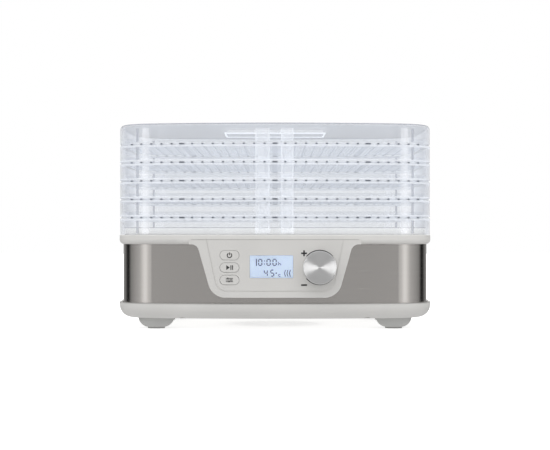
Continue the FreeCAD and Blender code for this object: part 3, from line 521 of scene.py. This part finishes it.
def digit(character, cx, low, width, height):
    """The lit segments of a seven-segment character."""
    stroke = STROKE * height / DIGIT_H
    left, right = cx - width / 2 + stroke / 2, cx + width / 2 - stroke / 2
    bottom, top = low + stroke / 2, low + height - stroke / 2
    middle = (bottom + top) / 2
    gap = stroke * 0.4
    ends = {"a": (left + gap, top, right - gap, top), "g": (left + gap, middle, right - gap, middle),
            "d": (left + gap, bottom, right - gap, bottom), "f": (left, top - gap, left, middle + gap),
            "b": (right, top - gap, right, middle + gap), "e": (left, middle - gap, left, bottom + gap),
            "c": (right, middle - gap, right, bottom + gap)}
    return [bar(*ends[s], stroke) for s in SEGMENTS[character]]


def display_readout():
    """Time above, temperature and a heat mark below, on the front of the display module."""
    low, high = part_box("display_window")
    cx, cz = (low[0] + high[0]) / 2, (low[2] + high[2]) / 2
    upper, lower = cz + 0.9 * MM, cz - 10.1 * MM
    shapes = [bar(cx - 15.4 * MM, upper, cx - 15.4 * MM, upper + DIGIT_H, STROKE)]
    for character, x in (("0", -11.5), ("0", -2.95), ("0", 3.2)):
        shapes += digit(character, cx + x * MM, upper, DIGIT_W, DIGIT_H)
    for dz in (1.9, 5.0):
        shapes.append(bar(cx - 7.6 * MM, upper + dz * MM, cx - 6.7 * MM, upper + dz * MM, 0.9 * MM))
    shapes += digit("h", cx + 8.3 * MM, upper, 2.9 * MM, 4.6 * MM)
    for character, x in (("4", -5.8), ("5", 0.8)):
        shapes += digit(character, cx + x * MM, lower, DIGIT_W * 0.95, DIGIT_H)
    shapes += arc_strip(cx + 4.8 * MM, cz - 6.6 * MM, 0.55 * MM, 0.5 * MM, 0, 360, 12)
    shapes += digit("c", cx + 8.3 * MM, lower, 2.9 * MM, 4.6 * MM)
    for x in (13.6, 16.1, 18.6):
        side = 0.75 * MM
        zs = [lower + k * 3.4 * MM for k in (0, 1, 2)]
        xs = [cx + x * MM + s for s in (side, -side / 2, side)]
        for k in range(2):
            shapes.append(bar(xs[k], zs[k], xs[k + 1], zs[k + 1], 0.8 * MM))
    decal("display_readout", shapes, "lcd_module", "base", MATERIALS["segment"], 0.15 * MM, 0.0)


def button_marks():
    """A generic mark on each button: power, play and pause, and settings."""
    def centre(node):
        low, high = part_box(node)
        return (low[0] + high[0]) / 2, (low[2] + high[2]) / 2

    x, z = centre("power_button")
    shapes = arc_strip(x, z - 0.2 * MM, 2.3 * MM, 0.95 * MM, 122, 418, 28)
    shapes.append(bar(x, z, x, z + 2.8 * MM, 0.95 * MM))
    decal("power_mark", shapes, "power_button", "power_button", MATERIALS["print"])

    x, z = centre("play_pause_button")
    shapes = [[(x - 3.2 * MM, z - 2.4 * MM), (x + 0.3 * MM, z), (x - 3.2 * MM, z + 2.4 * MM)]]
    shapes += [bar(x + dx * MM, z - 2.3 * MM, x + dx * MM, z + 2.3 * MM, 0.9 * MM) for dx in (1.5, 3.2)]
    node = "play_pause_button"
    decal("play_pause_mark", shapes, node, node, MATERIALS["print"])

    x, z = centre("set_button")
    shapes = []
    for dz, knob in ((1.7, -1.6), (0.0, 1.6), (-1.7, -0.4)):
        shapes.append(bar(x - 3.6 * MM, z + dz * MM, x + 3.6 * MM, z + dz * MM, 0.7 * MM))
        shapes.append(bar(x + (knob - 0.5) * MM, z + dz * MM, x + (knob + 0.5) * MM, z + dz * MM, 1.5 * MM))
    decal("settings_mark", shapes, "set_button", "set_button", MATERIALS["print"])


def knob_marks():
    """Plus and minus beside the knob, and dark arcs of painted shadow in the gap above and below it."""
    low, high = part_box("knob_cap")
    x, z = (low[0] + high[0]) / 2 - TURN_MARK_LEFT, (low[2] + high[2]) / 2
    half = TURN_MARK_HALF
    top, bottom = z + PLUS_UP, z - MINUS_DOWN
    shapes = [bar(x - half, top, x + half, top, PLUS_STROKE), bar(x, top - half, x, top + half, PLUS_STROKE),
              bar(x - half, bottom, x + half, bottom, MINUS_STROKE)]
    decal("turn_marks", shapes, "control_fascia", "base", MATERIALS["print"])

    # painted shadow: dark arcs above and below the knob
    centre, radius = (low[0] + high[0]) / 2, (high[0] - low[0]) / 2
    shapes = []
    for start in KNOB_SHADOW_STARTS:
        end = start + KNOB_SHADOW_SWEEP
        shapes += arc_strip(centre, z, radius + KNOB_SHADOW_OUT, KNOB_SHADOW_W, start, end, KNOB_SHADOW_STEPS)
    decal("knob_gap_shadow", shapes, "control_fascia", "base", MATERIALS["print"])


def outer_path(node, z):
    """The outside of a CAD wall at one height, as points with their outward directions."""
    points = []
    for i in range(PATH_STEPS):
        angle = 2 * math.pi * i / PATH_STEPS
        out = Vector((math.cos(angle), math.sin(angle), 0))
        _, place, _, _ = frame["nodes"][node].ray_cast(out * PATH_FROM + Vector((0, 0, z)), -out)
        points.append(place)
    path = []
    for i, place in enumerate(points):
        along = (points[(i + 1) % PATH_STEPS] - points[i - 1]).normalized()
        path.append((place, Vector((along.y, -along.x, 0))))
    return path


def band(path, section, points, faces):
    """Sweeps a closed (outwards, z) section right round a path."""
    base = len(points)
    count = len(section)
    for place, out in path:
        points += [Vector((place.x + out.x * u, place.y + out.y * u, z)) for u, z in section]
    total = len(path)
    for i in range(total):
        for k in range(count):
            here, ahead = base + i * count, base + ((i + 1) % total) * count
            after = (k + 1) % count
            faces.append([here + k, here + after, ahead + after, ahead + k])


def bead_section(low, high):
    """A flat bead that stands a little proud of the wall, with eased edges."""
    ease = BEAD_OUT * BEAD_EASE
    return [(-BEAD_IN, low), (BEAD_OUT - ease, low), (BEAD_OUT, low + ease),
            (BEAD_OUT, high - ease), (BEAD_OUT - ease, high), (-BEAD_IN, high)]


def clear_piece(name, points, faces, material, tray):
    """A piece of a tray's moulding."""
    piece = mesh_object(name, points, faces, MATERIALS[material])
    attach(piece, tray)
    return piece


def block(corners, points, faces):
    """Adds a box from its four lower corners, in order round it, and its four upper ones."""
    base = len(points)
    points += [Vector(c) for c in corners]
    faces += [[base + k for k in side] for side in
              ((3, 2, 1, 0), (4, 5, 6, 7), (0, 1, 5, 4), (1, 2, 6, 5), (2, 3, 7, 6), (3, 0, 4, 7))]


def corner_fin(node, sx, sy, bottom, top, points, faces):
    """A thin upright fin on the inside of a wall's rounded corner."""
    angle = math.radians(FIN_ANGLE)
    out = Vector((sx * math.sin(angle), sy * math.cos(angle), 0))
    side = Vector((-out.y, out.x, 0)) * (FIN_T / 2)
    centre = Vector((sx * CORNER_X, sy * CORNER_Y, (bottom + top) / 2))
    wall = reach(node, centre, out)
    near, far = centre + out * (wall - FIN_W), centre + out * (wall + FIN_SINK)
    ring = [near - side, far - side, far + side, near + side]
    block([(p.x, p.y, z) for z in (bottom, top) for p in ring], points, faces)


def corner_fins_and_highlights(node, bottom, top):
    """The fins and the pale faces inside the four rounded corners of a wall; the faces are a painted
    highlight.
    """
    points, faces = [], []
    highlight_points, highlight_faces = [], []
    middle = (bottom + top) / 2
    first, last = CORNER_HIGHLIGHT
    for sx in (-1, 1):
        for sy in (-1, 1):
            corner_fin(node, sx, sy, bottom, top, points, faces)
            centre = Vector((sx * CORNER_X, sy * CORNER_Y, middle))
            for k in range(POST_STEPS):
                turns = [math.radians(first + (last - first) * (k + j) / POST_STEPS) for j in (0, 1)]
                outs = [Vector((sx * math.sin(turn), sy * math.cos(turn), 0)) for turn in turns]
                walls = [centre + out * reach(node, centre, out) for out in outs]
                ring = [walls[0], walls[1], walls[1] - outs[1] * POST_SKIN, walls[0] - outs[0] * POST_SKIN]
                # painted highlight faces
                block([(p.x, p.y, z) for z in (bottom, top) for p in ring], highlight_points, highlight_faces)
    clear_piece(node + "_corner_fins", points, faces, "fin_painted_shade", node)
    clear_piece(node + "_corner_highlights", highlight_points, highlight_faces, "corner_painted_highlight", node)


def post_faces(node, bottom, top):
    """The pale inner faces of the stacking posts, two in front and two behind, with a glow that is painted
    light, and their bright edges, which are painted highlights.
    """
    points, faces = [], []
    middle = (bottom + top) / 2
    for x, width in POSTS:
        for sy in (-1, 1):
            for k in range(POST_STEPS):
                xs = [-sy * x + width * ((k + j) / POST_STEPS - 0.5) for j in (0, 1)]
                near = [sy * reach(node, (u, 0, middle), (0, sy, 0)) for u in xs]
                far = [y - sy * POST_SKIN for y in near]
                ring = [(xs[0], near[0]), (xs[1], near[1]), (xs[1], far[1]), (xs[0], far[0])]
                block([(u, v, z) for z in (bottom, top) for u, v in ring], points, faces)
    clear_piece(node + "_post_faces", points, faces, "post_painted_glow", node)

    points, faces = [], []
    for x, width in POSTS:
        for sy in (-1, 1):
            for side in (-1, 1):
                u = -sy * x + side * (width - POST_EDGE) / 2
                near = sy * reach(node, (u, 0, middle), (0, sy, 0))
                far = near - sy * POST_RISE
                left, right = u - POST_EDGE / 2, u + POST_EDGE / 2
                ring = [(left, near), (right, near), (right, far), (left, far)]
                block([(a, b, z) for z in (bottom, top) for a, b in ring], points, faces)
    clear_piece(node + "_post_edge_highlights", points, faces, "post_edge_painted_highlight", node)


def tray_details(tray):
    """One tray's fine floor, its rib ends of painted shade, the beads round its wall, bright with painted
    light, its corner fins and highlights, and the pale faces of its posts.
    """
    low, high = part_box(tray)
    grid = tray + "_grid"
    grid_low, grid_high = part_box(grid)
    middle = (grid_low[2] + grid_high[2]) / 2
    beside = (grid_high[2] + high[2]) / 2

    points, faces = [], []
    end_points, end_faces = [], []
    wire_points, wire_faces = [], []
    for i in range(-RIB_COUNT, RIB_COUNT + 1):
        x = i * RIB_PITCH
        width = WIDE_RIB_W if i in WIDE_RIBS else RIB_W
        lip = reach(tray, (x, 0, beside), (0, 1, 0))
        run = lip - RIM_W
        end = lip + RIB_END_IN
        prism_run((x, -run, middle), (x, run, middle), width, RIB_H, points, faces)
        for sy in (-1, 1):
            prism_run((x, sy * run, middle), (x, sy * end, middle), width, RIB_END_H, end_points, end_faces)
        for k in range(1, WIRES_PER_RIB):
            wire_x = x + k * RIB_PITCH / WIRES_PER_RIB
            run = reach(tray, (wire_x, 0, beside), (0, 1, 0))
            prism_run((wire_x, -run, middle), (wire_x, run, middle), WIRE_W, WIRE_H, wire_points, wire_faces)
    half = int(grid_high[1] / WIRE_PITCH)
    for i in range(-half, half + 1):
        y = i * WIRE_PITCH
        run = reach(tray, (0, y, beside), (1, 0, 0)) - RIM_W / 2
        prism_run((-run, y, middle), (run, y, middle), WIRE_W, WIRE_H, wire_points, wire_faces)
    ribs = clear_piece(tray + "_ribs", points, faces, "rib_plastic", tray)
    clear_piece(tray + "_rib_ends", end_points, end_faces, "rib_end_painted_shade", tray)
    clear_piece(tray + "_wires", wire_points, wire_faces, "wire_plastic", tray)
    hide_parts(grid)

    points, faces = [], []
    path = outer_path(tray, low[2] + BEAD_UP)
    band(path, bead_section(grid_low[2] - UPPER_BEAD_H, grid_low[2]), points, faces)
    if tray != "tray_1":
        band(path, bead_section(low[2], low[2] + LOWER_BEAD_H), points, faces)
    clear_piece(tray + "_beads", points, faces, "bead_painted_glow", tray)

    corner_fins_and_highlights(tray, low[2] + LOWER_BEAD_H, grid_low[2] - UPPER_BEAD_H)
    post_faces(tray, low[2] + LOWER_BEAD_H, grid_low[2])


def lid_details():
    """The lid's edge line, a dark line of painted shade, the bright rim of its sunken panel, a painted
    highlight, and its post faces.
    """
    low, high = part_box("lid")
    points, faces = [], []
    band(outer_path("lid", high[2] - LID_LINE_DOWN),
         [(u * MM, high[2] + z * MM) for u, z in LID_LINE], points, faces)
    clear_piece("lid_edge_line", points, faces, "painted_shade_line", "lid")
    points, faces = [], []
    bottom = high[2] - PANEL_DROP
    for sy in (-1, 1):
        start, end = ((sx * PANEL_HALF_X, sy * PANEL_HALF_Y, bottom) for sx in (-1, 1))
        prism_run(start, end, PANEL_RIM_W, PANEL_RIM_H, points, faces)
    for sx in (-1, 1):
        start, end = ((sx * PANEL_HALF_X, sy * PANEL_HALF_Y, bottom) for sy in (-1, 1))
        prism_run(start, end, PANEL_RIM_W, PANEL_RIM_H, points, faces)
    clear_piece("lid_panel_rim", points, faces, "painted_glint", "lid")
    corner_fins_and_highlights("lid", low[2] + LOWER_BEAD_H, high[2] - CORNER_HIGHLIGHT_DROP)
    post_faces("lid", low[2] + LOWER_BEAD_H, high[2] - POST_DROP)


def edge_line(name, node, material):
    """A thin shadow line round the upper edge of a part of the base."""
    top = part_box(node)[1][2]
    points, faces = [], []
    band(outer_path(node, top - EDGE_LINE_DOWN),
         [(u * MM, top + z * MM) for u, z in EDGE_LINE], points, faces)
    piece = mesh_object(name, points, faces, MATERIALS[material])
    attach(piece, "base")


def fascia_seam():
    """The thin shadow line where the control fascia meets the shoulder above it."""
    low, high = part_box("control_fascia")
    top = high[2] - SEAM_H / 2 - 0.1 * MM
    half = (high[0] - low[0]) / 2 - SEAM_IN
    xs = [-half + 2 * half * k / SEAM_STEPS for k in range(SEAM_STEPS + 1)]
    shapes = [[(a, top - SEAM_H / 2), (b, top - SEAM_H / 2), (b, top + SEAM_H / 2), (a, top + SEAM_H / 2)]
              for a, b in zip(xs, xs[1:])]
    decal("fascia_seam", shapes, "control_fascia", "base", MATERIALS["seam_shadow"],
          SEAM_PROUD, SEAM_PROUD)


for number in range(1, 6):
    tray_details(f"tray_{number}")
lid_details()
fascia_seam()
edge_line("plinth_edge", "top_deck", "painted_shade_line")
edge_line("housing_edge", "base_housing", "seam_shadow")
display_readout()
button_marks()
knob_marks()


# ------------------------------------------------------------------ stage, light and camera

def make_floor():
    """A plain pale floor."""
    size = FLOOR_HALF
    made, tree, out = new_material("floor")
    diffuse = tree.nodes.new("ShaderNodeBsdfDiffuse")
    diffuse.inputs["Color"].default_value = (FLOOR_TONE, FLOOR_TONE, FLOOR_TONE, 1)
    glow = tree.nodes.new("ShaderNodeEmission")
    glow.inputs["Strength"].default_value = FLOOR_GLOW
    add = tree.nodes.new("ShaderNodeAddShader")
    tree.links.new(diffuse.outputs["BSDF"], add.inputs[0])
    tree.links.new(glow.outputs["Emission"], add.inputs[1])
    tree.links.new(add.outputs["Shader"], out.inputs["Surface"])
    floor = mesh_object("floor", [(-size, -size, 0), (size, -size, 0), (size, size, 0), (-size, size, 0)],
                        [[0, 1, 2, 3]], made)
    floor.visible_diffuse = False
    floor.visible_glossy = False


def make_world():
    """A room that matt, shiny and see-through surfaces each see in their own way, white to the camera."""
    world = bpy.data.worlds.new("studio")
    bpy.context.scene.world = world
    world.use_nodes = True
    tree = world.node_tree
    tree.nodes.clear()
    out = tree.nodes.new("ShaderNodeOutputWorld")
    coords = tree.nodes.new("ShaderNodeTexCoord")
    split = tree.nodes.new("ShaderNodeSeparateXYZ")
    tree.links.new(coords.outputs["Generated"], split.inputs["Vector"])

    def math_node(kind, *sources):
        node = tree.nodes.new("ShaderNodeMath")
        node.operation = kind
        for i, source in enumerate(sources):
            if isinstance(source, float):
                node.inputs[i].default_value = source
            else:
                tree.links.new(source, node.inputs[i])
        return node.outputs["Value"]

    x, y, z = (split.outputs[k] for k in "XYZ")
    level = math_node("SQRT", math_node("ADD", math_node("MULTIPLY", x, x), math_node("MULTIPLY", y, y)))
    cosine = math_node("DIVIDE", math_node("MULTIPLY", y, -1.0), math_node("MAXIMUM", level, 0.0001))
    turn = math_node("DIVIDE", math_node("ARCCOSINE", cosine), math.pi)
    around = levels(tree, turn, ROOM)

    def blend(base, share, colour):
        node = tree.nodes.new("ShaderNodeMix")
        node.data_type = "RGBA"
        tree.links.new(share, node.inputs[0])
        tree.links.new(base, node.inputs[6])
        node.inputs[7].default_value = (*colour, 1)
        return node.outputs[2]

    over = levels(tree, z, [(0.0, 0.0), (0.35, 0.0), (0.7, 1.0)])
    down = math_node("MULTIPLY", z, -1.0)
    under = levels(tree, down, [(0.0, 0.0), (0.25, 0.0), (0.5, 1.0)])
    sky = blend(around, over, TOP_LIGHT)
    room = tree.nodes.new("ShaderNodeBackground")
    tree.links.new(blend(sky, under, LOW_LIGHT), room.inputs["Color"])
    studio_stops = [(0.0, FRONT_WALL), (STRIP_AT - STRIP_SPREAD, FRONT_WALL),
                    (STRIP_AT - STRIP_HALF, STRIP_LEVEL), (STRIP_AT + STRIP_HALF, STRIP_LEVEL),
                    (STRIP_AT + STRIP_SPREAD, SIDE_WALL), (FLAG_AT - FLAG_HALF - FLAG_EDGE, FLAG_SHADE),
                    (FLAG_AT - FLAG_HALF, 0.0), (FLAG_AT + FLAG_HALF, 0.0),
                    (FLAG_AT + FLAG_HALF + FLAG_EDGE, BACK_WALL), (1.0, BACKDROP)]
    shiny = levels(tree, turn, studio_stops)
    gloss_room = tree.nodes.new("ShaderNodeBackground")
    tree.links.new(blend(blend(shiny, over, GLOSS_TOP_LIGHT), under, LOW_LIGHT), gloss_room.inputs["Color"])
    plain = tree.nodes.new("ShaderNodeBackground")
    plain.inputs["Color"].default_value = (1, 1, 1, 1)
    through = levels(tree, turn, BACKLIGHT)
    backlit = tree.nodes.new("ShaderNodeBackground")
    tree.links.new(blend(through, over, TOP_LIGHT), backlit.inputs["Color"])
    path = tree.nodes.new("ShaderNodeLightPath")

    def choose(share, first, second):
        node = tree.nodes.new("ShaderNodeMixShader")
        tree.links.new(path.outputs[share], node.inputs[0])
        tree.links.new(first, node.inputs[1])
        tree.links.new(second, node.inputs[2])
        return node.outputs["Shader"]

    seen = choose("Is Glossy Ray", room.outputs["Background"], gloss_room.outputs["Background"])
    seen = choose("Is Transmission Ray", seen, backlit.outputs["Background"])
    seen = choose("Is Camera Ray", seen, plain.outputs["Background"])
    tree.links.new(seen, out.inputs["Surface"])


def area_light(name, place, aim, width, height, power):
    """A soft rectangular light that the camera doesn't see."""
    data = bpy.data.lights.new(name, "AREA")
    data.shape = "RECTANGLE"
    data.size = width
    data.size_y = height
    data.energy = power
    light = bpy.data.objects.new(name, data)
    bpy.context.scene.collection.objects.link(light)
    light.location = place
    light.rotation_mode = "QUATERNION"
    light.rotation_quaternion = (Vector(aim) - Vector(place)).to_track_quat("-Z", "Y")
    light.visible_camera = False
    light.visible_glossy = False
    return light


def make_camera():
    """Level, in front, as far off as the perspective of the trays asks for."""
    data = bpy.data.cameras.new("camera")
    data.sensor_width = 36
    data.lens = CAMERA_LENS
    data.shift_y = CAMERA_SHIFT
    camera = bpy.data.objects.new("camera", data)
    bpy.context.scene.collection.objects.link(camera)
    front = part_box("tray_1")[0][1]
    camera.location = (0, front - CAMERA_DISTANCE, CAMERA_HEIGHT)
    camera.rotation_euler = (math.radians(90), 0, 0)
    bpy.context.scene.camera = camera


knob_low, knob_high = (Vector(corner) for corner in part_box("knob_cap"))
KNOB_CENTRE = (knob_low + knob_high) / 2
knob_only = bpy.data.collections.new("knob_only")
knob_only.objects.link(frame["nodes"]["knob_cap"])

make_floor()
make_world()
area_light("top_light", (0, -0.5, 1.6), (0, 0, 0.1), 1.6, 1.2, 2)
area_light("front_light", (0, -2.6, 0.9), (0, 0, 0.1), 1.8, 1.0, 1)
for name, side in (("left", -1), ("right", 1)):
    place = KNOB_CENTRE + Vector((side * KNOB_LIGHT_OUT, -KNOB_LIGHT_OUT, 0))
    light = area_light(f"knob_light_{name}", place, KNOB_CENTRE, KNOB_LIGHT_W, KNOB_LIGHT_H, KNOB_LIGHT_POWER)
    light.visible_glossy = True
    light.light_linking.receiver_collection = knob_only
make_camera()

scene = bpy.context.scene
scene.view_settings.view_transform = "Standard"
scene.cycles.max_bounces = 32
scene.cycles.transmission_bounces = 32
scene.cycles.transparent_max_bounces = 256
scene.cycles.glossy_bounces = 8
